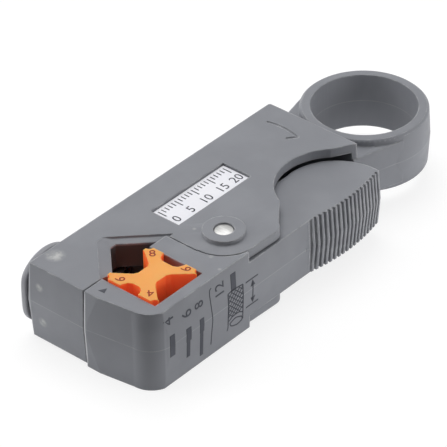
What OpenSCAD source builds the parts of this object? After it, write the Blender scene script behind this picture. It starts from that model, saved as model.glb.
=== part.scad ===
// Rotary coaxial cable stripper: a moulded body with a finger ring, a sprung lever
// with a ribbed thumb pad, a lift-out cable block and a three-blade cartridge.
// X runs from the jaws to the finger ring, Y to the back of the body, Z up.

/* [Body] */
// height of the body over both plates
body_h = 17.8; // [16:0.1:20]
// distance from the front face to the end of the plates
plate_end = 72.8; // [70:0.1:76]
// depth of the fixed jaw from the back face to the split
jaw_depth = 14.3; // [13.5:0.1:15]
// thickness of the back wall
back_wall = 3; // [2:0.1:4]
// draft of the outer walls at the parting line
draft = 0.4; // [0:0.05:0.6]
// height of the round boss on the plates around the rivet
boss_h = 0.9; // [0.5:0.1:1.2]
// radius of the round boss
boss_r = 4.4; // [4:0.1:5]

/* [Finger ring] */
// radius of the finger hole
ring_bore_r = 11.4; // [10:0.1:12]
// wall of the ring at its two faces
ring_wall = 2.3; // [2:0.1:3]
// distance from the front face to the ring centre
ring_x = 87.9; // [87:0.1:90]
// distance of the ring centre from the back face
ring_y = 13.3; // [13:0.1:16]

/* [Lever] */
// thickness of the lever between the plates
lever_h = 13; // [12:0.1:13.2]
// gap between moving faces
gap = 0.3; // [0.25:0.05:0.4]
// distance from the front face to the pivot
pivot_x = 31.8; // [31:0.1:33]
// distance of the pivot from the back face
pivot_y = 22.7; // [22:0.1:23.5]
// radius of the plate lobe around the pivot
lobe_r = 7.6; // [7.2:0.1:8]
// distance of the lever side from the back face at the jaw
side_y = 30.8; // [30:0.1:32]
// how far the lever jaw stands below the body
lever_drop = 0.6; // [0:0.1:0.8]
// radius of the thumb pad
pad_r = 12.1; // [11.5:0.1:12.4]
// number of grooves in the thumb pad
groove_count = 18; // [10:1:20]
// spacing of the grooves
groove_pitch = 1.27; // [1.1:0.01:1.3]
// depth of a groove
groove_depth = 0.5; // [0.3:0.05:0.7]

/* [Pivot] */
// radius of the rivet shank
rivet_r = 1.5; // [1.2:0.1:1.8]
// radius of the rivet heads
rivet_head_r = 1.97; // [1.9:0.01:2.4]
// radial running clearance of the lever on the rivet
run_fit = 0.05; // [0.03:0.01:0.08]

/* [Cable block] */
// side of the square cable block
block_size = 13.2; // [12.6:0.1:13.6]
// distance of the block centre from the front face
block_x = 12; // [11.5:0.1:12.5]
// clearance of the block in its pocket
block_fit = 0.25; // [0.2:0.01:0.3]
// Height of the cable block above the lever
block_proud = 0.5; // [0:0.1:0.8]

/* [Cartridge] */
// spacing of the blades
blade_pitch = 3; // [2.9:0.05:3.1]
// height of the middle blade above the body base
blade_z = 6.6; // [6.4:0.1:6.8]
// width of the cartridge
cart_w = 9.2; // [9:0.1:9.6]
// distance of the cartridge centre from the front face
cart_x = 16; // [15.8:0.1:16.2]
// thickness of a blade
blade_t = 0.4; // [0.3:0.05:0.5]
// radius of the round retaining disc
disc_r = 8.3; // [8:0.1:8.6]
// thickness of the retaining disc
disc_t = 1.7; // [1.5:0.1:2.2]
// distance of the disc axis from the front face
disc_x = 6.4; // [6:0.1:6.6]

/* [Hidden] */
$fn = 96;

mid = body_h / 2;
lev_lo = mid - lever_h / 2;
lev_hi = mid + lever_h / 2;
plate_lo = lev_lo - gap;
plate_hi = lev_hi + gap;
ring_face_r = ring_bore_r + ring_wall;
ring_mid_r = ring_face_r + draft * 0.85;
split = -jaw_depth;
lev_split = split - gap;
px = pivot_x;
py = -pivot_y;
pad_x = 58.8;
pad_y = -side_y + 1.2;
cut_r = pad_r + 0.7;
v_x = 15.2;
v_y = -8.2;
v_flat = 0.75;
bulge_r = 47.2;
bulge_y = -side_y - 1.65 + bulge_r;
grip_out = -side_y - 1.65 - draft;
blade_pos = [-blade_pitch, 0, blade_pitch];
cart_h = 3 * blade_pitch + 0.5;
web_lo = plate_lo + 1.6;
web_hi = plate_hi - 1.6;
disc_z = mid;
disc_y = draft + gap;
cover_out = draft / 2;
origin_x = (disc_x - disc_r + ring_x + ring_mid_r) / 2;
origin_y = (disc_y + disc_t + grip_out) / 2;
base_z = lever_drop;
rib_r = 0.75;

grey = [0.5, 0.52, 0.54];
dark = [0.33, 0.34, 0.36];
steel = [0.72, 0.72, 0.72];
orange = [0.92, 0.45, 0.18];

module place() {
    translate([-origin_x, -origin_y, base_z]) children();
}

// a plan shape carried up from one height to another
module slab(z0, z1) {
    translate([0, 0, z0]) linear_extrude(height = z1 - z0) children();
}

// a section drawn in X and Z, carried along Y
module along_y(y0, y1) {
    translate([0, y1, 0]) rotate([90, 0, 0]) linear_extrude(height = y1 - y0) children();
}

// a section drawn in Y and Z, carried along X
module along_x(x0, x1) {
    translate([x0, 0, 0]) rotate([90, 0, 90]) linear_extrude(height = x1 - x0) children();
}

module post(x, y, z0, z1, r) {
    translate([x, y, z0]) cylinder(h = z1 - z0, r = r);
}

// outline of the plates: lobe around the pivot, then a hollow around the thumb pad
module plate_plan() {
    polygon([[-1, 1], [plate_end + 1, 1], [plate_end + 1, -23.5], [plate_end, -23.4],
        [67.6, -20.4], [58, -18], [48.7, -23], [40.9, -29.2], [38.6, 0.3 - side_y],
        [px, py - lobe_r], [px, py], [24, py], [24, split], [-1, split]]);
}

module body_shell(z0, z1) {
    difference() {
        union() {
            slab(z0, z1) plate_plan();
            post(px, py, z0, z1, lobe_r);
            post(38.6, 3.3 - side_y, z0, z1, 3);
        }
        post(pad_x, pad_y, z0 - 1, z1 + 1, cut_r);
    }
}

// outer walls leaning in from the parting line to both faces
module body_draft() {
    intersection() {
        along_y(-60, 5) polygon([[0.2, 0], [-draft, mid], [0, body_h],
            [plate_end, body_h], [plate_end + draft, mid], [plate_end, 0]]);
        along_x(-5, 90) polygon([[-60, 0], [-60, body_h], [0, body_h], [draft, mid], [0, 0]]);
    }
}

// rounded upright corners at the end of the plates
module end_corner() {
    difference() {
        translate([plate_end - 1.5, -1.5, -1]) cube([4, 4, body_h + 2]);
        post(plate_end - 1.5, -1.5, -2, body_h + 2, 1.5 + draft);
    }
}

module lever_room() {
    slab(plate_lo, plate_hi) polygon([[26, -back_wall], [plate_end - 1, -back_wall],
        [plate_end - 1, -60], [-8, -60], [-8, split], [24, split], [26, split + 2]]);
}

function tangent(p, c, r, s) =
    let (dx = p[0] - c[0], dy = p[1] - c[1], d = sqrt(dx * dx + dy * dy),
        a = atan2(dy, dx) + s * acos(r / d))
    [c[0] + r * cos(a), c[1] + r * sin(a)];

// flat web that ties the ring to the end wall
module ring_web() {
    c = [ring_x, -ring_y];
    front = [plate_end, -23.6];
    back = [plate_end, -2.6];
    slab(web_lo, web_hi) polygon([[plate_end - 0.9, -23.3], front,
        tangent(front, c, ring_face_r + 0.2, 1), c,
        tangent(back, c, ring_face_r + 0.2, -1), back, [plate_end - 0.9, -2.6]]);
}

module ring_solid() {
    translate([ring_x, -ring_y, 0]) rotate_extrude() polygon([[2, lev_lo],
        [ring_face_r - 0.5, lev_lo], [ring_face_r, lev_lo + 0.45], [ring_mid_r, mid],
        [ring_face_r, lev_hi - 0.45], [ring_face_r - 0.5, lev_hi], [2, lev_hi]]);
}

// V opening of the fixed jaw: straight walls with a wide flat lead-in at both faces
module v_plan(apex_x, apex_y, flat) {
    polygon([[apex_x - flat, apex_y], [apex_x + flat, apex_y],
        [apex_x + flat + apex_y - split + 1, split - 1],
        [apex_x - flat - apex_y + split - 1, split - 1]]);
}

module slope_room(x, turn) {
    // the room above a slope that rises to the left of a line through x in the V's root
    rise = 0.28;
    reach = 40;
    translate([x, v_y, body_h - 0.8]) rotate([0, 0, turn]) rotate([90, 0, 90])
        translate([0, 0, -reach]) linear_extrude(height = 2 * reach)
            polygon([[-reach, 0], [0, 0], [reach, rise * reach], [-reach, rise * reach]]);
}
module lead_in() {
    intersection() {
        slope_room(v_x + v_flat, -45);
        slope_room(v_x, 0);
        slope_room(v_x - v_flat, 45);
    }
}
module v_notch() {
    slab(-1, body_h + 1) v_plan(v_x, v_y, v_flat);
    intersection() {
        slab(-2, body_h + 2) v_plan(14.5, -5.5, 0.9);
        union() {
            lead_in();
            translate([0, 0, body_h]) mirror([0, 0, 1]) lead_in();
        }
    }
}

module cart_room() {
    translate([cart_x - cart_w / 2 - block_fit, -20, blade_z - cart_h / 2 - 0.1])
        cube([cart_w + 2 * block_fit, 25, cart_h + 0.2]);
    translate([cart_x - cart_w / 2 - block_fit, -3.1, blade_z - 5.1])
        cube([cart_w + 2 * block_fit, 10, 10.2]);
}

// curved arrow moulded into the top plate beside the ring
module turn_arrow() {
    translate([54.4, -7.6, body_h - 0.15]) intersection() {
        rotate_extrude() translate([13, 0]) square([0.55, 1]);
        slab(-1, 2) polygon([[0, 0], [20, -6.6], [20, 5.6]]);
    }
    for (a = [-28, 34])
        translate([66.9, -12.6, body_h - 0.15]) rotate([0, 0, 106 + a])
            translate([0, -0.25, 0]) cube([2.5, 0.5, 1]);
}

module body() {
    color(grey) place() difference() {
        union() {
            difference() {
                intersection() {
                    body_shell(0, body_h);
                    body_draft();
                }
                lever_room();
                end_corner();
            }
            difference() {
                union() {
                    ring_solid();
                    ring_web();
                }
                translate([0, -60, -5]) cube([plate_end - 0.9, 80, 40]);
            }
            post(px, py, body_h - 0.5, body_h + boss_h, boss_r);
            post(px, py, -lever_drop, 0.5, boss_r);
        }
        post(ring_x, -ring_y, -5, 30, ring_bore_r);
        v_notch();
        cart_room();
        post(px, py, -5, 30, rivet_r + 0.02);
        post(px, py, body_h - 0.3, 30, rivet_head_r + 0.12);
        post(px, py, -5, 0.6, rivet_head_r + 0.72);
        // recess for the label
        translate([28, -14.2, body_h - 0.6]) cube([22, 7.4, 2]);
        // bore for the disc screw
        translate([disc_x, 2, disc_z]) rotate([90, 0, 0]) cylinder(h = 8.5, r = 1.02);
        turn_arrow();
        // curved slot for the free end of the spring
        spring_slot();
    }
}

module spring_slot() {
    translate([px, py, plate_hi - 1]) rotate([0, 0, 80]) rotate_extrude(angle = 34)
        translate([3.9, 0]) square([1.4, 2.1]);
}

module label() {
    color([0.94, 0.94, 0.97]) place() translate([28.2, -14, body_h - 0.6])
        cube([21.6, 7, 0.15]);
}

module pivot_rivet() {
    color(steel) place() {
        post(px, py, -0.3, body_h, rivet_r);
        post(px, py, body_h - 0.3, body_h + boss_h - 0.1, rivet_head_r);
        post(px, py, -lever_drop + 0.05, 0.1, rivet_head_r);
    }
}

module rivet_washer() {
    color(steel) place() difference() {
        post(px, py, 0.1, 0.6, rivet_head_r + 0.6);
        post(px, py, -1, 2, rivet_r + 0.02);
    }
}

// housing with one slot for each blade slide
module cartridge() {
    x0 = cart_x - cart_w / 2;
    z0 = blade_z - cart_h / 2;
    color(dark) place() difference() {
        union() {
            translate([x0, -8, z0]) cube([cart_w, 6, cart_h]);
            translate([x0, -3, blade_z - 5]) cube([cart_w, 2.1, 10]);
        }
        for (z = blade_pos) {
            translate([x0 + 0.6, -12, blade_z + z - blade_pitch / 2 + 0.2])
                cube([cart_w - 1.2, 9, blade_pitch - 0.4]);
            translate([cart_x, 5, blade_z + z]) rotate([90, 0, 0]) cylinder(h = 10, r = 0.6 + run_fit);
            translate([cart_x, 0, blade_z + z]) rotate([90, 0, 0]) cylinder(h = 2.2, r = 1.1 + run_fit);
        }
        for (s = [-1, 1])
            translate([cart_x + s * 3.1, 0, blade_z]) rotate([90, 0, 0]) cylinder(h = 2.8, r = 0.52);
    }
}

module cartridge_cover() {
    color(grey) place() difference() {
        translate([cart_x - cart_w / 2, -0.9, blade_z - 5]) cube([cart_w, 0.9 + cover_out, 10]);
        for (z = blade_pos)
            translate([cart_x, 1, blade_z + z]) rotate([90, 0, 0]) cylinder(h = 3, r = 0.75);
        for (s = [-1, 1])
            translate([cart_x + s * 3.1, cover_out + 1, blade_z]) rotate([90, 0, 0]) {
                cylinder(h = 4, r = 0.52);
                cylinder(h = 1.5, r = 1.02);
            }
    }
}

module cover_screws() {
    color(steel) place() for (s = [-1, 1])
        translate([cart_x + s * 3.1, cover_out, blade_z]) rotate([90, 0, 0]) difference() {
            union() {
                cylinder(h = 2.7 + cover_out, r = 0.5);
                cylinder(h = 0.5, r = 1);
            }
            translate([-1.5, -0.15, -0.5]) cube([3, 0.3, 0.75]);
        }
}

// slide that carries one blade on two pegs, with a threaded block behind it
module blade_slide(i) {
    half = blade_pitch / 2 - 0.5;
    w = cart_w / 2 - 0.9;
    color([0.2, 0.2, 0.22]) place() translate([cart_x, 0, blade_z + blade_pos[i]]) difference() {
        union() {
            translate([-w, -5.4, -half]) cube([2 * w, 2, 2 * half]);
            translate([-w, -7.6, -half]) cube([2 * w, 2.3, 2 * half - blade_t]);
            for (s = [-1, 1])
                translate([s * 2.4, -6.5, -0.2]) cylinder(h = half + 0.2, r = 0.5);
        }
        translate([0, 1, 0]) rotate([90, 0, 0]) cylinder(h = 6.25, r = 0.6 + run_fit);
    }
}

module blade_slide_1() {
    blade_slide(0);
}

module blade_slide_2() {
    blade_slide(1);
}

module blade_slide_3() {
    blade_slide(2);
}

// straight blade, ground on both faces towards the cable
module blade(i) {
    zt = blade_pitch / 2 - 0.5;
    w = cart_w / 2 - 0.9;
    color([0.8, 0.81, 0.82]) place() translate([cart_x, 0, blade_z + blade_pos[i]]) difference() {
        along_x(-w, w) polygon([[-9.3, zt - blade_t / 2], [-8.4, zt - blade_t],
            [-5.45, zt - blade_t], [-5.45, zt], [-8.4, zt]]);
        for (s = [-1, 1]) translate([s * 2.4, -6.5, -2]) cylinder(h = 5, r = 0.52);
    }
}

module blade_1() {
    blade(0);
}

module blade_2() {
    blade(1);
}

module blade_3() {
    blade(2);
}

// socket screw that drives one blade slide
module adjust_screw(i) {
    color(steel) place() translate([cart_x, -0.95, blade_z + blade_pos[i]]) rotate([90, 0, 0]) difference() {
        union() {
            cylinder(h = 1.2, r = 1.1);
            cylinder(h = 3.7, r = 0.6);
        }
        linear_extrude(height = 1.6, center = true) polygon([for (a = [0:60:300]) 0.52 * [cos(a), sin(a)]]);
    }
}

module adjust_screw_1() {
    adjust_screw(0);
}

module adjust_screw_2() {
    adjust_screw(1);
}

module adjust_screw_3() {
    adjust_screw(2);
}

// round disc whose rim holds the cartridge in; a flat on the rim lets it out
module retaining_disc() {
    color(dark) place() translate([disc_x, disc_y + disc_t, disc_z]) rotate([90, 0, 0]) difference() {
        rotate_extrude() polygon([[0, 0], [disc_r - 0.5, 0], [disc_r, 0.5],
            [disc_r, disc_t - 0.35], [disc_r - 0.35, disc_t], [0, disc_t]]);
        rotate([0, 0, -70]) translate([4.8, -10, -1]) cube([10, 20, 10]);
        translate([0, 0, -1]) cylinder(h = 10, r = 1.05);
        translate([0, 0, -1]) cylinder(h = 1.9, r = 2.15);
        rotate([0, 0, 20]) {
            translate([-6.2, -0.6, -1]) cube([3, 1.2, 1.7]);
            translate([3.2, -0.6, -1]) cube([3, 1.2, 1.7]);
        }
    }
}

module disc_screw() {
    color(steel) place() translate([disc_x, disc_y + disc_t, disc_z]) rotate([90, 0, 0]) difference() {
        union() {
            translate([0, 0, 0.1]) cylinder(h = 8, r = 1);
            translate([0, 0, 0.1]) cylinder(h = 0.75, r = 1.85);
        }
        translate([-3, -0.25, -1]) cube([6, 0.5, 1.5]);
    }
}

module jaw_plan() {
    polygon([[-0.1 - draft, lev_split], [23.7, lev_split], [23.7, py], [px, py],
        [29.8, -side_y - draft], [6.6, -side_y - draft], [1.15, -25.8]]);
}

// plan of the lever between the plates
module arm_plan() {
    polygon([[18, lev_split], [23.7, lev_split], [30, py + 7.1], [36, -16.8], [57, -17.6],
        [64, -24], [60, -side_y - draft], [18, -side_y - draft]]);
}

// outer face of the pad: a shallow arc leaning in to both faces
module pad_arc() {
    translate([59.1, bulge_y, mid]) for (s = [0, 1]) mirror([0, 0, s])
        cylinder(h = lever_h / 2, r1 = bulge_r + draft, r2 = bulge_r - 0.2);
}

module grooves() {
    lean = atan((draft + 0.2) / (lever_h / 2));
    for (i = [0:groove_count - 1]) {
        a = (i - (groove_count - 1) / 2) * groove_pitch / bulge_r * 180 / PI;
        for (s = [0, 1])
            translate([59.1, bulge_y, mid]) rotate([0, 0, a]) mirror([0, 0, s])
                translate([0, -bulge_r - draft, 0]) rotate([-lean, 0, 0])
                    translate([-0.31, -3, -0.2]) cube([0.62, 3 + groove_depth, 9]);
    }
}

module lever() {
    color(grey) place() difference() {
        union() {
            intersection() {
                union() {
                    difference() {
                        union() {
                            slab(-lever_drop, body_h) jaw_plan();
                            post(6.4, -25.9, -lever_drop, body_h, 5.25);
                        }
                        post(px, py, -5, lev_lo, lobe_r + gap);
                        post(px, py, lev_hi, 40, lobe_r + gap);
                    }
                    slab(lev_lo, lev_hi) arm_plan();
                    post(px, py, lev_lo, lev_hi, 7.2);
                }
                along_x(-5, 90) polygon([[0, -lever_drop], [0, body_h], [-side_y, body_h],
                    [-side_y - draft, mid], [-side_y, -lever_drop]]);
                along_y(-60, 5) polygon([[0, -lever_drop], [-0.1 - draft, mid], [0, body_h],
                    [80, body_h], [80, -lever_drop]]);
            }
            difference() {
                intersection() {
                    post(pad_x, pad_y, lev_lo, lev_hi, pad_r);
                    pad_arc();
                }
                grooves();
            }
        }
        // bore on the rivet and pocket for the spring
        post(px, py, -5, 40, rivet_r + run_fit);
        difference() {
            post(px, py, 10.4, 40, 5.7);
            post(px, py, 0, 40, 3.2);
        }
        translate([px + 1.6, py + 3.6, 10.4]) cube([11.3, 1.8, 10]);
        // pocket for the cable block, open towards the fixed jaw
        block_pocket();
    }
}

module block_pocket() {
    h = block_size / 2 + block_fit;
    difference() {
        translate([block_x - h, lev_split - block_size - 2 * block_fit, 1.4])
            cube([2 * h, block_size + 5, 40]);
        for (s = [-1, 1])
            post(block_x + s * h, lev_split - block_size - 2 * block_fit, 1, body_h - 1, rib_r);
    }
    translate([block_x - 0.3 * block_size, lev_split - 0.35 * block_size, -5])
        cube([0.7 * block_size, 8, 20]);
}

// torsion spring: stacked coils, a straight leg in the lever, a short upright end
module lever_spring() {
    wire = 0.42;
    color(steel) place() {
        for (k = [0:3])
            translate([px, py, 10.9 + k * 0.84]) rotate_extrude() translate([4.6, 0]) circle(r = wire + 0.02);
        translate([px, py + 4.6, 10.9]) rotate([0, 90, 0]) cylinder(h = 12.3, r = wire);
        translate([px + 4.6 * cos(89), py + 4.6 * sin(89), 13.3]) cylinder(h = plate_hi - 13.3 + 0.6, r = wire);
    }
}

// square block with four notches, one for each cable size
module cable_block() {
    b = block_size / 2;
    cy = lev_split - block_fit - b;
    color(orange) place() translate([block_x, cy, 1.5]) difference() {
        translate([-b, -b, 0]) cube([block_size, block_size, body_h + block_proud - 1.5]);
        notch(b, 0, 0.71, 0.64, 0.2);
        notch(b, 180, 0.82, 0.65, 0.2);
        notch(b, 270, 0.44, 0.32, 0.21);
        notch(b, 90, 0.35, 0.3, 0.12);
        for (sx = [-1, 1], sy = [-1, 1])
            translate([sx * b, sy * b, -1]) cylinder(h = 40, r = rib_r + block_fit + 0.05);
    }
}

// one notch, as shares of half the block: half width, depth, half width at the root
module notch(b, turn, half, deep, root) {
    rotate([0, 0, turn]) translate([0, b, -1]) linear_extrude(height = 40)
        polygon(b * [[-half, 0.15], [-half, -0.045], [-root - 0.14, 0.075 - deep],
            [-root, -deep], [root, -deep], [root + 0.14, 0.075 - deep],
            [half, -0.045], [half, 0.15]]);
}

body();
label();
pivot_rivet();
rivet_washer();
cartridge();
cartridge_cover();
cover_screws();
blade_slide_1();
blade_slide_2();
blade_slide_3();
blade_1();
blade_2();
blade_3();
adjust_screw_1();
adjust_screw_2();
adjust_screw_3();
retaining_disc();
disc_screw();
lever();
lever_spring();
cable_block();
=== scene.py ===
import bpy
import bmesh
import math
import numpy as np
from mathutils import Matrix, Vector


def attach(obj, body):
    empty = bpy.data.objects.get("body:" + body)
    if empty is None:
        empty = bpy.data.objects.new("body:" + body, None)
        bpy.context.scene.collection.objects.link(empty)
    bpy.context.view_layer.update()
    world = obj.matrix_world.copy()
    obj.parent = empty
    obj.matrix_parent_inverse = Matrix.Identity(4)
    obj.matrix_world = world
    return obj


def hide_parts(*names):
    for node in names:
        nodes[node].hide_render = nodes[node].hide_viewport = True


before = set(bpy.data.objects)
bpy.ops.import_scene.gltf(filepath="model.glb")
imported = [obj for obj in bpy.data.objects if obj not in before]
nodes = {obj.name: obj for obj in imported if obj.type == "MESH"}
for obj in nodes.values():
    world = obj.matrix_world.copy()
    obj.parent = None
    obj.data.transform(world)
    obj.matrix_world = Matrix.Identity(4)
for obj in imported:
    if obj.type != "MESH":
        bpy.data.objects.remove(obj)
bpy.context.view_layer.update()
mm = 0.001
parting = 9.5  # height of the mouldings' parting line, in mm
print("model loaded:", len(nodes), "nodes")


# Making meshes.
def meshFromGrid(name, points, closeRows=False, closeColumns=False):
    # points: rows x columns x 3; quads join neighbours, wrapping round where asked
    rows, columns = points.shape[:2]
    index = np.arange(rows * columns).reshape(rows, columns)
    down = np.concatenate([index, index[:1]]) if closeRows else index
    both = np.concatenate([down, down[:, :1]], axis=1) if closeColumns else down
    quads = np.stack([both[:-1, :-1], both[1:, :-1], both[1:, 1:], both[:-1, 1:]], -1).reshape(-1, 4)
    return meshFromArrays(name, points.reshape(-1, 3), quads)


def meshFromArrays(name, points, faces):
    mesh = bpy.data.meshes.new(name)
    mesh.from_pydata(np.asarray(points, float).tolist(), [], np.asarray(faces).tolist())
    tidyMesh(mesh)
    return placeObject(name, mesh)


def tidyMesh(mesh, distance=2e-6):
    shape = bmesh.new()
    shape.from_mesh(mesh)
    bmesh.ops.remove_doubles(shape, verts=shape.verts, dist=distance)
    bmesh.ops.recalc_face_normals(shape, faces=shape.faces)
    shape.to_mesh(mesh)
    shape.free()


def placeObject(name, data):
    piece = bpy.data.objects.new(name, data)
    bpy.context.scene.collection.objects.link(piece)
    return piece


def smoothBelow(mesh, degrees):
    mesh.shade_smooth()
    mesh.set_sharp_from_angle(angle=math.radians(degrees))


def turned(name, outline, centre, steps=64, smoothing=35):
    # outline: radius and height pairs; each is carried round the Z axis in equal steps
    outline = np.asarray(outline, float) * mm
    turn = np.linspace(0, 2 * math.pi, steps, endpoint=False)
    across, around = np.meshgrid(outline[:, 0], turn, indexing="ij")
    along = np.repeat(outline[:, 1:2], steps, axis=1)
    points = np.stack([across * np.cos(around), across * np.sin(around), along], -1)
    piece = meshFromGrid(name, points + np.asarray(centre) * mm, closeColumns=True)
    smoothBelow(piece.data, smoothing)
    return piece


def finishPiece(piece, body, material, replaced=()):
    piece.data.materials.clear()
    piece.data.materials.append(material)
    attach(piece, body)
    for one in replaced:
        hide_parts(one)
    return piece


def evenlyShaded(piece):
    even = piece.modifiers.new("evenShading", "WEIGHTED_NORMAL")
    even.keep_sharp = True
    return piece


# merging distances in metres, the parting line's width in mm, and the angle up to which faces are smooth
welding = {"weld": 3e-6, "collapse": 1e-6, "onParting": 0.02, "smoothBelow": 13}


def merged(name, nodeName, w=welding):
    # a merged copy of the CAD node; flat faces keep their own normals and the parting line stays crisp
    mesh = nodes[nodeName].data.copy()
    mesh.name = name
    shape = bmesh.new()
    shape.from_mesh(mesh)
    bmesh.ops.remove_doubles(shape, verts=shape.verts, dist=w["weld"])
    bmesh.ops.dissolve_degenerate(shape, edges=shape.edges, dist=w["collapse"])
    shape.to_mesh(mesh)
    shape.free()
    smoothBelow(mesh, w["smoothBelow"])
    place = np.zeros(len(mesh.vertices) * 3, np.float32)
    mesh.vertices.foreach_get("co", place)
    ends = np.zeros(len(mesh.edges) * 2, np.int32)
    mesh.edges.foreach_get("vertices", ends)
    height = place.reshape(-1, 3)[ends.reshape(-1, 2), 2]
    onLine = (np.abs(height - parting * mm) < w["onParting"] * mm).all(axis=1)
    sharp = mesh.attributes.get("sharp_edge") or mesh.attributes.new("sharp_edge", "BOOLEAN", "EDGE")
    marks = np.zeros(len(mesh.edges), bool)
    sharp.data.foreach_get("value", marks)
    sharp.data.foreach_set("value", marks | onLine)
    return evenlyShaded(placeObject(name, mesh))


# Materials.
def newMaterial(name):
    material = bpy.data.materials.new(name)
    material.use_nodes = True
    return material, material.node_tree, material.node_tree.nodes["Principled BSDF"]


def addNode(tree, kind, links=None, **settings):
    made = tree.nodes.new(kind)
    for key, value in settings.items():
        setattr(made, key, value)
    for socket, value in (links or {}).items():
        if isinstance(value, bpy.types.NodeSocket):
            tree.links.new(value, made.inputs[socket])
        else:
            made.inputs[socket].default_value = value
    return made


def noiseAt(tree, vector, scale, detail=2.0, rough=0.5):
    return addNode(tree, "ShaderNodeTexNoise", {"Vector": vector, "Scale": scale, "Detail": detail,
                                                "Roughness": rough}).outputs["Fac"]


def ranged(tree, value, low, high, outLow, outHigh):
    links = {"Value": value, "From Min": low, "From Max": high, "To Min": outLow, "To Max": outHigh}
    return addNode(tree, "ShaderNodeMapRange", links, interpolation_type="SMOOTHSTEP").outputs["Result"]


def mathOf(tree, operation, first, second):
    return addNode(tree, "ShaderNodeMath", {0: first, 1: second}, operation=operation).outputs[0]


def product(tree, first, *others):
    for other in others:
        first = mathOf(tree, "MULTIPLY", first, other)
    return first


def mixed(tree, factor, first, second):
    return addNode(tree, "ShaderNodeMix", {0: factor, 6: first, 7: second}, data_type="RGBA").outputs[2]


def vectorMath(tree, operation, first, second=(0, 0, 0), result="Value"):
    return addNode(tree, "ShaderNodeVectorMath", {0: first, 1: second}, operation=operation).outputs[result]


def split(tree, vector):
    return addNode(tree, "ShaderNodeSeparateXYZ", {0: vector}).outputs


def inMetres(spot):
    return [c * mm for c in spot]


def srgb(red, green, blue):
    levels = np.array([red, green, blue]) / 255
    linear = np.where(levels > 0.04045, ((levels + 0.055) / 1.055) ** 2.4, levels / 12.92)
    return (*linear.tolist(), 1.0)


# noise scales, and for each blend its start, its end and its value at either; the line's core and edge and
# the plain corner are in mm
plasticPlan = {"driftScale": 85, "drift": (0.35, 0.65, 0, 1), "glossScale": 260, "gloss": (0.3, 0.7),
               "bend": (0.995, 0.9, 0, 1), "patchScale": 420, "patches": (0.42, 0.66, 0.25, 1),
               "smearCore": 0.15, "smearScale": 900, "smear": (0.35, 0.6, 0.35, 1),
               "lineCore": 0.03, "lineEdge": 0.16, "line": 0.2, "lineScale": 300,
               "lineBreaks": (0.3, 0.6, 0.4, 1),
               "upright": (0.25, 0.75, 1, 0), "deepWall": 0.15, "grainDepth": 0.00004, "plainCorner": 0.25,
               "glowRadius": (1.0, 0.3, 0.08), "glowScale": 0.003, "refraction": 1.49, "specular": 0.4}


def wornEdges(tree, place, colour, rounded, look, plan=plasticPlan):
    # the rounded normal leaves the flat one only near an edge; the paler edge is partly wear and partly a
    # painted highlight, and patches of noise break the line up
    flat = addNode(tree, "ShaderNodeNewGeometry").outputs["Normal"]
    corner = ranged(tree, vectorMath(tree, "DOT_PRODUCT", rounded, flat), *plan["bend"])
    patchy = ranged(tree, noiseAt(tree, place, plan["patchScale"], 3), *plan["patches"])
    return mixed(tree, product(tree, corner, patchy, look["edgeWearAndHighlight"]), colour, look["paleLineTone"])


def rubMark(tree, place, colour, rub, tone, plan=plasticPlan):
    # a round smear, strongest in its core and broken up by fine noise
    spot, radius, strength = rub
    away = vectorMath(tree, "DISTANCE", place, inMetres(spot))
    smear = product(tree, ranged(tree, away, plan["smearCore"] * radius * mm, radius * mm, strength, 0),
                    ranged(tree, noiseAt(tree, place, plan["smearScale"], 2), *plan["smear"]))
    return mixed(tree, smear, colour, tone)


def partingLine(tree, place, colour, look, plan=plasticPlan):
    # a fine pale witness line where the mould halves met
    above = mathOf(tree, "SUBTRACT", split(tree, place)["Z"], look["parting"] * mm)
    off = mathOf(tree, "ABSOLUTE", above, 0.0)
    line = product(tree, ranged(tree, off, plan["lineCore"] * mm, plan["lineEdge"] * mm, plan["line"], 0),
                   ranged(tree, noiseAt(tree, place, plan["lineScale"], 2), *plan["lineBreaks"]))
    return mixed(tree, line, colour, look["paleLineTone"])


def glowingWalls(tree, place, colour, shader, look, plan=plasticPlan):
    # upright walls get a deeper, redder tone, which is painted shade, and an emission, which is a painted glow,
    # strongest near the top face and less and less on the way down
    upright = split(tree, addNode(tree, "ShaderNodeNewGeometry").outputs["Normal"])["Z"]
    walls = ranged(tree, upright, *plan["upright"])
    height = split(tree, place)["Z"]
    near = ranged(tree, height, look["glowFrom"] * mm, look["glowTo"] * mm, plan["deepWall"], 1)
    shader.inputs["Emission Color"].default_value = look["paintedGlowColour"]
    tree.links.new(product(tree, walls, near, look["paintedGlowStrength"]), shader.inputs["Emission Strength"])
    return mixed(tree, walls, colour, look["paintedWallShade"])


def stained(tree, place, colour, paintedBox):
    # a box of another tone, used here for painted shade and painted highlights: full inside, fading out over
    # its soft margin
    apart = vectorMath(tree, "SUBTRACT", place, inMetres(paintedBox["centre"]), "Vector")
    apart = split(tree, vectorMath(tree, "ABSOLUTE", apart, result="Vector"))
    inside = paintedBox["strength"]
    for axis, half in zip("XYZ", paintedBox["halves"]):
        full = half - paintedBox["soft"]
        inside = product(tree, inside, ranged(tree, apart[axis], full * mm, half * mm, 1, 0))
    return mixed(tree, inside, colour, paintedBox["tone"])


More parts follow.
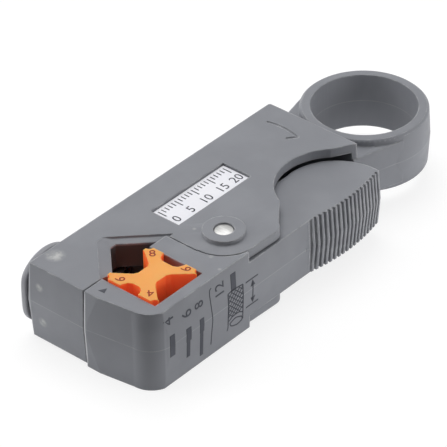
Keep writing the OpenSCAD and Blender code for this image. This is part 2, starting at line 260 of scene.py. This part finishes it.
def mouldedPlastic(name, look, rubs=(), paintedLightBoxes=(), plan=plasticPlan):
    # fine spark-eroded grain and slow colour drift, then what the look asks for: lighter corners, partly wear
    # and partly painted highlight, pale rub marks, a parting line, painted shade and a painted glow on upright
    # walls, and boxes of painted shade and painted highlight
    material, tree, shader = newMaterial(name)
    place = addNode(tree, "ShaderNodeTexCoord").outputs["Object"]
    radius = look.get("corner", plan["plainCorner"]) * mm
    rounded = addNode(tree, "ShaderNodeBevel", {"Radius": radius}, samples=6).outputs[0]
    drift = ranged(tree, noiseAt(tree, place, plan["driftScale"], 3), *plan["drift"])
    colour = mixed(tree, drift, look["shade"], look["colour"])
    # edges made paler: partly wear, partly painted highlight
    if look.get("edgeWearAndHighlight"):
        colour = wornEdges(tree, place, colour, rounded, look)
    for rub in rubs:
        colour = rubMark(tree, place, colour, rub, look["rub"])
    if look.get("parting"):
        colour = partingLine(tree, place, colour, look)
    # painted shade and a painted glow on the upright walls
    if look.get("paintedWallShade"):
        colour = glowingWalls(tree, place, colour, shader, look)
    # boxes of painted shade and painted highlight
    for paintedBox in paintedLightBoxes:
        colour = stained(tree, place, colour, paintedBox)
    tree.links.new(colour, shader.inputs["Base Color"])
    gloss = ranged(tree, noiseAt(tree, place, plan["glossScale"], 4), *plan["gloss"],
                   look["roughLow"], look["roughHigh"])
    tree.links.new(gloss, shader.inputs["Roughness"])
    grainLinks = {"Height": noiseAt(tree, place, look["grainScale"], 2, 0.6), "Strength": look["grain"],
                  "Distance": plan["grainDepth"], "Normal": rounded}
    grain = addNode(tree, "ShaderNodeBump", grainLinks)
    tree.links.new(grain.outputs["Normal"], shader.inputs["Normal"])
    # glow: light that wanders some way through the clear orange plastic
    shader.inputs["Subsurface Weight"].default_value = look.get("glow", 0)
    shader.inputs["Subsurface Radius"].default_value = plan["glowRadius"]
    shader.inputs["Subsurface Scale"].default_value = plan["glowScale"]
    shader.inputs["IOR"].default_value = plan["refraction"]
    shader.inputs["Specular IOR Level"].default_value = look.get("specular", plan["specular"])
    return material


metalPlan = {"lineScale": 700, "tone": (0.35, 0.65, 0, 1), "glossScale": 500, "gloss": (0.3, 0.7),
             "lineDepth": 0.00002}


def metal(name, look, plan=metalPlan):
    # bright turned or rolled steel with fine scratches along one way and slowly changing gloss
    material, tree, shader = newMaterial(name)
    place = addNode(tree, "ShaderNodeTexCoord").outputs["Object"]
    drawn = addNode(tree, "ShaderNodeMapping", {"Vector": place, "Scale": look["drawn"]}).outputs["Vector"]
    lines = noiseAt(tree, drawn, plan["lineScale"], 3, 0.6)
    tone = mixed(tree, ranged(tree, lines, *plan["tone"]), look["shade"], look["colour"])
    tree.links.new(tone, shader.inputs["Base Color"])
    gloss = ranged(tree, noiseAt(tree, place, plan["glossScale"], 3), *plan["gloss"],
                   look["roughLow"], look["roughHigh"])
    tree.links.new(gloss, shader.inputs["Roughness"])
    grain = addNode(tree, "ShaderNodeBump", {"Height": lines, "Strength": look["grain"],
                                             "Distance": plan["lineDepth"]})
    tree.links.new(grain.outputs["Normal"], shader.inputs["Normal"])
    shader.inputs["Metallic"].default_value = 1.0
    return material


# colour and shade take turns over the surface; the rubbed tone is for rub marks; the pale line tone is for
# edges that are partly worn and partly painted highlight and for the parting line; the block's wall tone is
# painted shade and its wall light a painted glow; the corner, the parting and where the glow begins and ends
# are in mm
finishes = {
    "bodyGrey": {"colour": srgb(137, 139, 145), "shade": srgb(131, 133, 139), "paleLineTone": srgb(205, 206, 209),
                 "rub": srgb(205, 205, 203), "edgeWearAndHighlight": 0.65, "corner": 0.5, "roughLow": 0.40, "roughHigh": 0.52,
                 "grain": 0.22, "grainScale": 5200, "parting": parting},
    "blockOrange": {"colour": srgb(255, 174, 84), "shade": srgb(255, 166, 76), "paleLineTone": srgb(255, 190, 110),
                    "paintedWallShade": srgb(250, 122, 56), "edgeWearAndHighlight": 0.4, "corner": 0.4, "roughLow": 0.34,
                    "roughHigh": 0.46, "grain": 0.12, "grainScale": 5200, "glow": 0.5, "paintedGlowStrength": 0.26,
                    "paintedGlowColour": srgb(255, 88, 52), "glowFrom": 11.5, "glowTo": 18.5},
    "darkPlastic": {"colour": srgb(52, 52, 56), "shade": srgb(44, 44, 48), "roughLow": 0.42,
                    "roughHigh": 0.56, "grain": 0.2, "grainScale": 5200},
    "discGrey": {"colour": srgb(152, 153, 158), "shade": srgb(145, 146, 152), "paleLineTone": srgb(176, 177, 181),
                 "edgeWearAndHighlight": 0.35, "corner": 0.4, "roughLow": 0.40, "roughHigh": 0.52, "grain": 0.22,
                 "grainScale": 5200},
    "ink": {"colour": srgb(88, 90, 98), "shade": srgb(80, 82, 90), "roughLow": 0.5, "roughHigh": 0.6,
            "grain": 0.1, "grainScale": 5200, "specular": 0.2},
    "labelInk": {"colour": srgb(70, 72, 82), "shade": srgb(58, 60, 70), "roughLow": 0.5, "roughHigh": 0.6,
                 "grain": 0.1, "grainScale": 5200, "specular": 0.2},
    "blockInk": {"colour": srgb(176, 62, 44), "shade": srgb(160, 54, 40), "roughLow": 0.5, "roughHigh": 0.6,
                 "grain": 0.1, "grainScale": 5200, "specular": 0.2},
    "labelPaper": {"colour": srgb(250, 250, 255), "shade": srgb(246, 246, 252), "roughLow": 0.5,
                   "roughHigh": 0.62, "grain": 0.1, "grainScale": 3000, "specular": 0.25},
    "steel": {"colour": (0.86, 0.86, 0.84, 1), "shade": (0.72, 0.72, 0.71, 1), "roughLow": 0.26,
              "roughHigh": 0.44, "grain": 0.25, "drawn": (1, 1, 1)},
    "rivetSteel": {"colour": (0.58, 0.58, 0.57, 1), "shade": (0.42, 0.42, 0.41, 1), "roughLow": 0.4,
                   "roughHigh": 0.56, "grain": 0.3, "drawn": (1, 0.3, 1)},
    "bladeSteel": {"colour": (0.78, 0.79, 0.8, 1), "shade": (0.62, 0.63, 0.65, 1), "roughLow": 0.18,
                   "roughHigh": 0.32, "grain": 0.2, "drawn": (0.15, 1, 1)},
}
# pale spots of handling: place in mm, radius in mm, strength
topCornerRub = ((-45.1, 12.9, 18.4), 2.5, 0.75)
seamSpeck = ((-25.9, -10.8, 18.4), 0.7, 0.6)
plateSpeck = ((-21.0, -2.2, 18.4), 0.6, 0.35)
jawSpeck = ((-28.0, -14.8, 18.4), 0.6, 0.3)
frontRubs = [((-50.3, 12.6, 13.6), 1.2, 0.6), ((-50.3, 12.3, 5.2), 1.4, 0.6)]
# painted shade on the walls inside the V, and painted highlights on the edges beside the split and at the back;
# all in mm
throatPaintedShade = {"centre": (-34.0, 4.0, 8.0), "halves": (5.6, 3.6, 9.3), "soft": 0.25, "tone": srgb(76, 88, 92),
          "strength": 1.0}
# painted highlight along the lever's edge at the split
splitPaintedHighlight = {"centre": (-50.4, 0.625, 9.5), "halves": (0.5, 0.42, 8.9), "soft": 0.3,
             "tone": srgb(214, 215, 218), "strength": 0.8}
# painted highlight along the body's upright edge at the back
backPaintedHighlight = {"centre": (-50.4, 15.45, 9.5), "halves": (0.55, 0.5, 8.9), "soft": 0.35,
            "tone": srgb(200, 201, 205), "strength": 0.5}
bodyGrey = mouldedPlastic("bodyGrey", finishes["bodyGrey"],
                          [topCornerRub, seamSpeck, plateSpeck, jawSpeck] + frontRubs, [throatPaintedShade, backPaintedHighlight])
leverGrey = mouldedPlastic("leverGrey", finishes["bodyGrey"], [seamSpeck, jawSpeck], [splitPaintedHighlight])
blockOrange = mouldedPlastic("blockOrange", finishes["blockOrange"])
darkPlastic = mouldedPlastic("cartridgeBlack", finishes["darkPlastic"])
discGrey = mouldedPlastic("discGrey", finishes["discGrey"])
coverGrey = mouldedPlastic("coverGrey", {**finishes["discGrey"], "edgeWearAndHighlight": 0})
ink = mouldedPlastic("padPrint", finishes["ink"])
labelInk = mouldedPlastic("labelPrint", finishes["labelInk"])
blockInk = mouldedPlastic("blockNumbers", finishes["blockInk"])
labelPaper = mouldedPlastic("labelPaper", finishes["labelPaper"])
steel = metal("screwSteel", finishes["steel"])
springSteel = metal("springSteel", finishes["steel"])
rivetSteel = metal("rivetSteel", finishes["rivetSteel"])
bladeSteel = metal("bladeSteel", finishes["bladeSteel"])
print("finishes ready")


# Moulded pieces.
finishPiece(merged("bodyShell", "body"), "base", bodyGrey, ["body"])
leverShell = finishPiece(merged("leverShell", "lever"), "lever", leverGrey, ["lever"])
finishPiece(merged("notchedBlock", "cable_block"), "block", blockOrange, ["cable_block"])
print("mouldings shaded")

# Pivot rivet, in mm.
rivet = {"x": -18.22, "y": -7.475, "shank": 1.5, "head": 1.97, "headTop": 19.2, "headSeat": 18.1,
         "footLow": 0.05, "footTop": 0.7, "footBevel": 0.15, "crown": 0.16, "rim": 0.12}


def rivetOutline(r):
    # domed head: height falls with the square of the radius, then a short quarter-round to the rim
    share = np.linspace(0, 1, 12)
    domeEnd, domeLow = r["head"] - r["rim"], r["headTop"] - r["crown"]
    dome = np.stack([share * domeEnd, r["headTop"] - r["crown"] * share ** 2], -1)
    turn = np.linspace(0, math.pi / 2, 5)[1:]
    rim = np.stack([domeEnd + r["rim"] * np.sin(turn), domeLow - r["rim"] * (1 - np.cos(turn))], -1)
    down = [[r["head"], r["headSeat"]], [r["shank"], r["headSeat"]], [r["shank"], r["footTop"]],
            [r["head"], r["footTop"]], [r["head"], r["footLow"] + r["footBevel"]],
            [r["head"] - r["footBevel"], r["footLow"]], [0, r["footLow"]]]
    return np.concatenate([dome, rim, down])


rivetPin = turned("rivetPin", rivetOutline(rivet), (rivet["x"], rivet["y"], 0))
finishPiece(rivetPin, "base", rivetSteel, ["pivot_rivet"])
print("rivet turned")

# Keeper disc at the back, in mm; flats are given by distance from the axis and direction in degrees.
keeper = {"x": -43.62, "z": 9.5, "out": 17.625, "thick": 1.7, "radius": 8.3, "round": 0.8, "innerRound": 0.3,
          "flats": ((4.8, -70), (7.2, 180)), "ease": 16, "hole": 1.05, "seat": 2.15, "seatDepth": 0.9,
          "slotTurn": 20, "slotFrom": 3.2, "slotTo": 6.2, "slotHalf": 0.6, "slotDepth": 0.7, "slotRise": 1.0,
          "smoothBelow": 30}


def keeperShape(k, steps=144):
    # reach is the distance of the rim from the axis: with the power "ease", one over the radius and the
    # cosine over the distance of each flat are added, and the root of one over the sum is taken; both edges
    # of the rim are quarter-rounds
    turn = np.linspace(0, 2 * math.pi, steps, endpoint=False)
    inverse = np.full(steps, k["radius"] ** -k["ease"])
    for distance, way in k["flats"]:
        inverse += (np.maximum(np.cos(turn - math.radians(way)), 0) / distance) ** k["ease"]
    reach = inverse ** (-1 / k["ease"])
    bow = np.linspace(math.pi / 2, 0, 9)
    fixed = [(k["hole"], k["thick"]), (k["hole"], k["seatDepth"]), (k["seat"], k["seatDepth"]), (k["seat"], 0)]
    rows = [(np.full(steps, radius), depth) for radius, depth in fixed]
    rows += [(reach - k["round"] * (1 - math.cos(b)), k["round"] * (1 - math.sin(b))) for b in bow]
    back = np.linspace(0, math.pi / 2, 4)
    rows += [(reach - k["innerRound"] * (1 - math.cos(b)), k["thick"] - k["innerRound"] * (1 - math.sin(b)))
             for b in back]
    cosine, sine, level = np.cos(turn), np.sin(turn), np.ones(steps)
    grid = [np.stack([k["x"] + radial * cosine, (k["out"] - depth) * level, k["z"] + radial * sine], -1)
            for radial, depth in rows]
    return np.array(grid) * mm


def slotCutter(k, way):
    # the eight corners of one finger slot, turned about the disc axis and standing out of its face
    along, half = np.array([k["slotFrom"], k["slotTo"]]) * way, k["slotHalf"]
    lean = math.radians(k["slotTurn"])
    flat = np.array([(along[0], -half), (along[1], -half), (along[1], half), (along[0], half)])
    x = k["x"] + flat[:, 0] * math.cos(lean) - flat[:, 1] * math.sin(lean)
    z = k["z"] + flat[:, 0] * math.sin(lean) + flat[:, 1] * math.cos(lean)
    levels = (k["out"] - k["slotDepth"], k["out"] + k["slotRise"])
    points = np.concatenate([np.column_stack([x, np.full(4, y), z]) for y in levels])
    faces = [(0, 1, 2, 3), (4, 5, 6, 7)] + [(i, (i + 1) % 4, (i + 1) % 4 + 4, i + 4) for i in range(4)]
    return meshFromArrays("slotCutter", points * mm, faces)


def cutBy(piece, cutters, smoothing):
    for cutter in cutters:
        cut = piece.modifiers.new("slot", "BOOLEAN")
        cut.object = cutter
        cut.solver = "EXACT"
    bpy.context.view_layer.update()
    shaped = bpy.data.meshes.new_from_object(piece.evaluated_get(bpy.context.evaluated_depsgraph_get()))
    piece.modifiers.clear()
    piece.data = shaped
    for cutter in cutters:
        bpy.data.objects.remove(cutter)
    smoothBelow(shaped, smoothing)


keeperDisc = meshFromGrid("keeperDisc", keeperShape(keeper), closeRows=True, closeColumns=True)
cutBy(keeperDisc, [slotCutter(keeper, way) for way in (1, -1)], keeper["smoothBelow"])
finishPiece(evenlyShaded(keeperDisc), "disc", discGrey, ["retaining_disc"])
print("keeper disc turned")

# Label sheet, in mm.
labelSheet = {"left": -21.82, "right": -0.22, "front": 1.225, "back": 8.225, "low": 17.8, "thick": 0.15}


def flatSheet(name, s, rows=9, columns=41):
    # an even grid between the four edges, made thick downwards
    y, x = np.meshgrid(np.linspace(s["front"], s["back"], rows), np.linspace(s["left"], s["right"], columns),
                       indexing="ij")
    top = np.stack([x, y, np.full_like(x, s["low"] + s["thick"])], -1) * mm
    piece = meshFromGrid(name, top)
    wall = piece.modifiers.new("paper", "SOLIDIFY")
    wall.thickness = s["thick"] * mm
    wall.offset = -1
    return piece


finishPiece(flatSheet("labelSheet", labelSheet), "base", labelPaper, ["label"])
print("label laid")


# Printed marks.
def strip(line, width, steps):
    # a flat band: the line is resampled evenly and offset half the width to both sides along its normals
    line = np.asarray(line, float)
    travelled = np.concatenate([[0], np.cumsum(np.hypot(*np.diff(line, axis=0).T))])
    at = np.linspace(0, travelled[-1], max(steps, 2 * len(line)))
    middle = np.stack([np.interp(at, travelled, line[:, 0]), np.interp(at, travelled, line[:, 1])], -1)
    run = np.gradient(middle, axis=0)
    run /= np.maximum(np.linalg.norm(run, axis=1, keepdims=True), 1e-9)
    normal = np.stack([-run[:, 1], run[:, 0]], -1) * width / 2
    points = np.concatenate([middle + normal, middle - normal])
    n = len(middle)
    i = np.arange(n - 1)
    return points, [tuple(q) for q in np.stack([i, i + n, i + n + 1, i + 1], -1).tolist()]


def bar(x0, x1, z0, z1):
    middle = (x0 + x1) / 2
    return strip([(middle, z0), (middle, z1)], x1 - x0, 12)


def wedge(*corners):
    return np.array(corners, float), [tuple(range(len(corners)))]


def figures(words, size, centre, turn=0.0):
    # number outlines as flat faces, turned about their middle, which is put at the centre
    curve = bpy.data.curves.new("figures", "FONT")
    curve.body = words
    curve.size = size
    curve.resolution_u = 4
    curve.align_x = "CENTER"
    curve.align_y = "CENTER"
    holder = placeObject("figures", curve)
    bpy.context.view_layer.update()
    flat = bpy.data.meshes.new_from_object(holder.evaluated_get(bpy.context.evaluated_depsgraph_get()))
    points = np.array([v.co[:2] for v in flat.vertices])
    faces = [tuple(p.vertices) for p in flat.polygons]
    bpy.data.objects.remove(holder)
    angle = math.radians(turn)
    spin = np.array([[math.cos(angle), math.sin(angle)], [-math.sin(angle), math.cos(angle)]])
    middle = (points.min(0) + points.max(0)) / 2
    return (points - middle) @ spin + np.asarray(centre, float), faces


def hatching(x0, x1, z0, z1, gap, width, least=0.05):
    # diagonals of 45 degrees both ways, clipped to the box; what keeps less than the least share is left out
    bands, rise = [], z1 - z0
    for way in (1, -1):
        low, high = (x0 - rise, x1) if way > 0 else (x0, x1 + rise)
        for start in np.arange(low, high, gap):
            share = np.array([(x0 - start) * way / rise, (x1 - start) * way / rise])
            first, last = max(0, share.min()), min(1, share.max())
            if last - first > least:
                bands.append(strip([(start + way * rise * t, z0 + rise * t) for t in (first, last)], width, 6))
    return bands


def gathered(parts):
    points, faces, count = [], [], 0
    for more, joined in parts:
        points.append(more)
        faces += [tuple(i + count for i in face) for face in joined]
        count += len(more)
    return np.concatenate(points), faces


def thinSkin(name, parts, thick, level, onto=None, lift=0.0):
    # flat marks laid on a top face at the level, or started from the level on Y and pressed against a side wall
    flat, faces = gathered(parts)
    columns = [flat[:, 0], flat[:, 1]]
    columns.insert(2 if onto is None else 1, np.full(len(flat), level))
    points = np.column_stack(columns)
    mesh = bpy.data.meshes.new(name)
    mesh.from_pydata((points * mm).tolist(), [], faces)
    piece = placeObject(name, mesh)
    if onto is not None:
        press = piece.modifiers.new("press", "SHRINKWRAP")
        press.target = onto
        press.wrap_method = "PROJECT"
        press.use_project_x = press.use_project_z = False
        press.use_project_y = press.use_positive_direction = True
        press.offset = lift * mm
        bpy.context.view_layer.update()
        pressed = bpy.data.meshes.new_from_object(piece.evaluated_get(bpy.context.evaluated_depsgraph_get()))
        piece.modifiers.clear()
        piece.data = pressed
    skin = piece.modifiers.new("skin", "SOLIDIFY")
    skin.thickness = thick * mm
    skin.offset = 0
    return piece


# marks on the lever's side, in mm: digits as words, size and place, bars and the hatched box as x from and
# to and z from and to, lines as points of x and z
side = {"digits": [("4", 3.9, (-44.12, 15.5)), ("6", 3.9, (-38.92, 14.4)), ("8", 3.5, (-35.32, 14.5)),
                   ("12", 3.6, (-29.22, 14.8))],
        "digitTurn": 90, "thick": 0.05, "lift": 0.015, "start": -20.0,
        "bars": [(-44.02, -42.57, 6.8, 11.9), (-39.27, -37.82, 7.7, 10.9), (-39.17, -38.17, 3.8, 7.7),
                 (-35.32, -34.07, 7.6, 10.9), (-35.22, -34.32, 1.8, 7.6), (-25.87, -24.37, 12.1, 16.3)],
        "bow": [(-31.57, 16.35), (-32.07, 16.1), (-32.14, 15.0), (-31.82, 11.7), (-31.52, 8.5), (-31.72, 6.4),
                (-31.97, 2.8)],
        "bowWidth": 0.2,
        "hatched": (-26.8, -22.45, 6.1, 12.0), "hatchGap": 1.15, "hatchWidth": 0.2,
        "cable": [[(-26.85, 12.1), (-26.85, 3.9), (-27.1, 3.2)],
                  [(-22.4, 12.1), (-22.4, 3.6)],
                  [(-26.85, 12.1), (-25.9, 12.35), (-24.6, 12.35), (-22.4, 12.1)],
                  [(-26.85, 5.3), (-25.5, 6.0), (-23.6, 6.0), (-22.4, 5.3)],
                  [(-26.3, 4.6), (-24.6, 5.2), (-22.7, 4.4), (-22.4, 3.5), (-24.0, 3.1), (-26.0, 3.7),
                   (-26.3, 4.6)],
                  [(-21.5, 11.9), (-17.8, 11.9)],
                  [(-21.5, 5.7), (-17.8, 5.7)],
                  [(-19.45, 6.6), (-19.45, 11.0)]],
        "cableWidth": 0.26,
        "arrowHeads": [((-19.45, 11.6), (-20.15, 10.2), (-18.75, 10.2)),
                       ((-19.45, 6.0), (-18.75, 7.4), (-20.15, 7.4))]}


def sideMarks(s):
    parts = [figures(words, size, centre, s["digitTurn"]) for words, size, centre in s["digits"]]
    parts += [bar(*box) for box in s["bars"]]
    parts.append(strip(s["bow"], s["bowWidth"], 24))
    parts += hatching(*s["hatched"], s["hatchGap"], s["hatchWidth"])
    parts += [strip(line, s["cableWidth"], 12) for line in s["cable"]]
    return parts + [wedge(*corners) for corners in s["arrowHeads"]]


sidePrint = thinSkin("sideMarks", sideMarks(side), side["thick"], side["start"], leverShell, side["lift"])
finishPiece(sidePrint, "lever", ink)

# numbers on the block, as words, place and turn, and the triangle on the jaw
blockTop = {"level": 18.9, "thick": 0.04, "size": 2.95,
            "digits": [("6", (-43.2, -2.5), 45), ("8", (-32.9, -1.7), -45), ("6", (-32.6, -10.1), 45),
                       ("4", (-42.8, -10.1), 135)]}
blockDigits = [figures(words, blockTop["size"], centre, turn) for words, centre, turn in blockTop["digits"]]
finishPiece(thinSkin("blockNumbers", blockDigits, blockTop["thick"], blockTop["level"]), "block", blockInk)
pointer = {"level": 18.4, "thick": 0.04, "corners": ((-48.11, -1.25), (-46.51, -2.17), (-47.98, -2.81))}
pointerMark = thinSkin("pointerMark", [wedge(*pointer["corners"])], pointer["thick"], pointer["level"])
finishPiece(pointerMark, "lever", ink)

# millimetre rule on the label; the end numbers are drawn in from the sheet's edges
rule = {"level": 17.95, "thick": 0.03, "start": -20.9, "back": 7.55, "pitch": 0.99, "width": 0.26, "short": 1.3,
        "long": 2.3, "numbersAt": 3.2, "size": 3.0, "firstNumber": 0.7, "lastNumber": 18.9,
        "ticks": 21, "numberEvery": 5}


def ruleMarks(k):
    # a tick each millimetre, every fifth longer with its number below
    parts = []
    for i in range(k["ticks"]):
        x = k["start"] + i * k["pitch"]
        reach = k["short"] if i % k["numberEvery"] else k["long"]
        parts.append(strip([(x, k["back"]), (x, k["back"] - reach)], k["width"], 3))
    for i in range(0, k["ticks"], k["numberEvery"]):
        x = k["start"] + max(k["firstNumber"], min(i * k["pitch"], k["lastNumber"]))
        parts.append(figures(str(i), k["size"], (x, k["numbersAt"])))
    return parts


finishPiece(thinSkin("labelRule", ruleMarks(rule), rule["thick"], rule["level"]), "base", labelInk)
print("marks laid")

# CAD nodes that stay as they are, with new materials.
keptNodes = ((darkPlastic, ("cartridge", "blade_slide_1", "blade_slide_2", "blade_slide_3")),
             (coverGrey, ("cartridge_cover",)),
             (bladeSteel, ("blade_1", "blade_2", "blade_3")),
             (springSteel, ("lever_spring",)),
             (rivetSteel, ("rivet_washer",)),
             (steel, ("cover_screws", "disc_screw", "adjust_screw_1", "adjust_screw_2", "adjust_screw_3")))
for material, names in keptNodes:
    for one in names:
        for slot in nodes[one].material_slots:
            slot.material = material
print("kept nodes finished")

# Light, floor and camera, in metres; "card" is the direction of a dark card beside the camera.
studio = {"world": 0.62, "sheen": 1.5, "backdrop": 1.0, "card": (-0.7, -0.7, 0.14), "cardEdge": 0.0,
          "cardFull": 0.95, "cardTone": 0.0, "floorSize": 3.0, "floorLow": -0.00002, "floorGlow": 0.8,
          "floorTone": 0.26, "bounce": 0.33, "paleTone": 0.85, "darkTone": 0.1, "darkFrom": 0.02, "darkTo": 0.1}
lamps = {"softbox": {"spot": (0.15, 0.25, 0.75), "size": 0.5, "power": 2.5},
         "leftFill": {"spot": (-0.5, 0.56, 0.22), "size": 0.35, "power": 1.86},
         "rightFill": {"spot": (0.3, -0.68, 0.14), "size": 0.35, "power": 2.0925}}
white = (1, 1, 1, 1)


def grey(level):
    return (level, level, level, 1)


def blended(tree, factor, first, second):
    return addNode(tree, "ShaderNodeMixShader", {0: factor, 1: first, 2: second}).outputs[0]


def background(tree, strength):
    return addNode(tree, "ShaderNodeBackground", {"Color": white, "Strength": strength}).outputs[0]


def makeWorld(s):
    # the light from the card's side is weaker than from the rest of the room
    world = bpy.data.worlds.new("studio")
    bpy.context.scene.world = world
    world.use_nodes = True
    tree = world.node_tree
    tree.nodes.clear()
    ray = addNode(tree, "ShaderNodeLightPath").outputs
    way = addNode(tree, "ShaderNodeTexCoord").outputs["Generated"]
    towards = vectorMath(tree, "DOT_PRODUCT", way, s["card"])
    level = ranged(tree, towards, s["cardEdge"], s["cardFull"], s["world"], s["world"] * s["cardTone"])
    sheen = background(tree, product(tree, level, s["sheen"]))
    room = blended(tree, ray["Is Glossy Ray"], background(tree, level), sheen)
    seen = blended(tree, ray["Is Camera Ray"], room, background(tree, s["backdrop"]))
    tree.links.new(seen, addNode(tree, "ShaderNodeOutputWorld").inputs["Surface"])


def makeFloor(s):
    half, low = s["floorSize"], s["floorLow"]
    corners = [(-half, -half, low), (half, -half, low), (half, half, low), (-half, half, low)]
    floor = placeObject("floor", bpy.data.meshes.new("floor"))
    floor.data.from_pydata(corners, [], [(0, 1, 2, 3)])
    material, tree, shader = newMaterial("paleFloor")
    # the card also lies on the floor in front of the camera, out of the picture, and takes the bounce there
    place = addNode(tree, "ShaderNodeTexCoord").outputs["Object"]
    pale = ranged(tree, vectorMath(tree, "DOT_PRODUCT", place, s["card"]), s["darkFrom"], s["darkTo"], 1, 0)
    tree.links.new(mixed(tree, pale, grey(s["darkTone"]), grey(s["paleTone"])), shader.inputs["Base Color"])
    shader.inputs["Roughness"].default_value = 0.9
    shader.inputs["Emission Color"].default_value = white
    tree.links.new(product(tree, pale, s["bounce"]), shader.inputs["Emission Strength"])
    # what the camera sees of it is an even pale tone that still takes the shadow
    lit = addNode(tree, "ShaderNodeBsdfDiffuse", {"Color": grey(s["floorTone"])}).outputs[0]
    glow = addNode(tree, "ShaderNodeEmission", {"Color": white, "Strength": s["floorGlow"]}).outputs[0]
    shown = addNode(tree, "ShaderNodeAddShader", {0: lit, 1: glow}).outputs[0]
    ray = addNode(tree, "ShaderNodeLightPath").outputs["Is Camera Ray"]
    seen = blended(tree, ray, shader.outputs[0], shown)
    tree.links.new(seen, tree.nodes["Material Output"].inputs["Surface"])
    floor.data.materials.append(material)


def addLamp(name, plan):
    # an area lamp that faces the middle of the part
    lamp = bpy.data.lights.new(name, "AREA")
    lamp.size = plan["size"]
    lamp.energy = plan["power"]
    holder = placeObject(name, lamp)
    holder.location = plan["spot"]
    holder.rotation_euler = (-Vector(plan["spot"])).to_track_quat("-Z", "Y").to_euler()


makeWorld(studio)
makeFloor(studio)
for name, plan in lamps.items():
    addLamp(name, plan)

# fitted to the photograph: turn about Z, height over the horizon and roll in degrees, focal length and image
# width in pixels, the rest in mm
cameraFit = {"turn": -48.745, "lift": 35.711, "roll": -0.898, "distance": 632.71, "focal": 3119.72,
             "aim": (-6.633, 2.752, 9.466), "imageWidth": 447, "sensor": 36}


def makeCamera(c):
    turn, lift = math.radians(c["turn"]), math.radians(c["lift"])
    back = Vector((math.sin(turn) * math.cos(lift), -math.cos(turn) * math.cos(lift), math.sin(lift)))
    data = bpy.data.cameras.new("view")
    data.sensor_width = c["sensor"]
    data.lens = c["sensor"] * c["focal"] / c["imageWidth"]
    data.clip_start = 0.01
    data.clip_end = 20
    camera = placeObject("view", data)
    right = (-back).cross(Vector((0, 0, 1))).normalized()
    up = right.cross(-back)
    roll = math.radians(c["roll"])
    across = right * math.cos(roll) + up * math.sin(roll)
    top = -right * math.sin(roll) + up * math.cos(roll)
    place = (Vector(c["aim"]) + back * c["distance"]) * mm
    camera.matrix_world = Matrix([[across[i], top[i], back[i], place[i]] for i in range(3)] + [[0, 0, 0, 1]])
    bpy.context.scene.camera = camera


makeCamera(cameraFit)
bpy.context.scene.view_settings.view_transform = "Standard"
print("studio ready")
